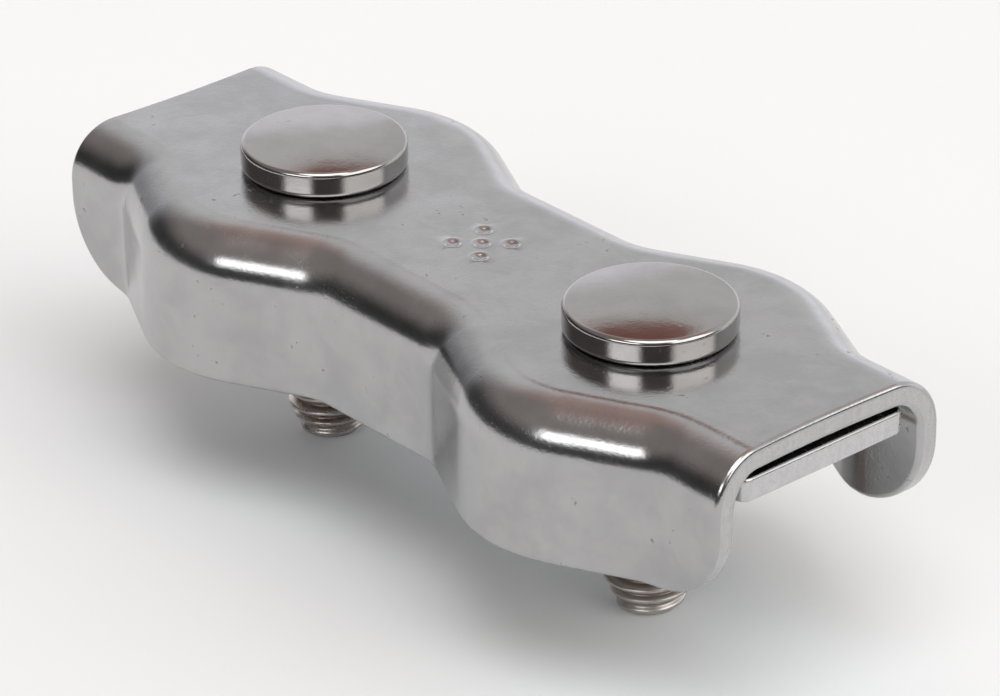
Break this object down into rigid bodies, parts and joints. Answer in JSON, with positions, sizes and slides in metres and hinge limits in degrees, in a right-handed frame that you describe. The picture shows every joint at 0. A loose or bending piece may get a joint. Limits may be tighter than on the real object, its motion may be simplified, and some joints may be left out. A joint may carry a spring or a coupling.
{
  "type": "wire rope clip",
  "caption": "Duplex wire rope clip: a wavy stamped steel channel and a pressure plate, drawn together by round-head bolts and hexagon nuts to clamp 5 mm rope.",
  "frame": {"origin": "under the middle of the clip, level with the bolt tips", "axes": "+X along the clip from one bolt to the other, +Y across it, +Z from the bolt tips up to the bolt heads"},
  "size_m": [0.052, 0.0216, 0.0178],
  "materials": {
    "body_steel": "polished stainless steel, faint tumbling marks",
    "plate_steel": "rolled stainless steel with a sheared edge",
    "bolt_steel": "polished stainless steel head, rolled thread",
    "nut_steel": "machined stainless steel"
  },
  "bodies": {
    "clamp": {"clamp_body": "body_steel", "bolt_left": "bolt_steel", "bolt_right": "bolt_steel"},
    "plate": {"pressure_plate": "plate_steel"},
    "nut_left": {"nut_left": "nut_steel"},
    "nut_right": {"nut_right": "nut_steel"}
  },
  "joints": [
    {"name": "plate_slide", "type": "slide", "parent": "clamp", "child": "plate", "axis": [0, 0, -1], "range_m": [0, 0.007]},
    {"name": "nut_left_spin", "type": "hinge", "parent": "plate", "child": "nut_left", "pos_m": [-0.013, 0, 0.01104], "axis": [0, 0, -1], "range_deg": [0, 3151]},
    {"name": "nut_right_spin", "type": "hinge", "parent": "plate", "child": "nut_right", "pos_m": [0.013, 0, 0.01104], "axis": [0, 0, -1], "range_deg": [0, 3151]}
  ],
  "couplings": [
    {"joint": "nut_left_spin", "follows": "plate_slide", "rad_per_m": 7854},
    {"joint": "nut_right_spin", "follows": "plate_slide", "rad_per_m": 7854}
  ]
}
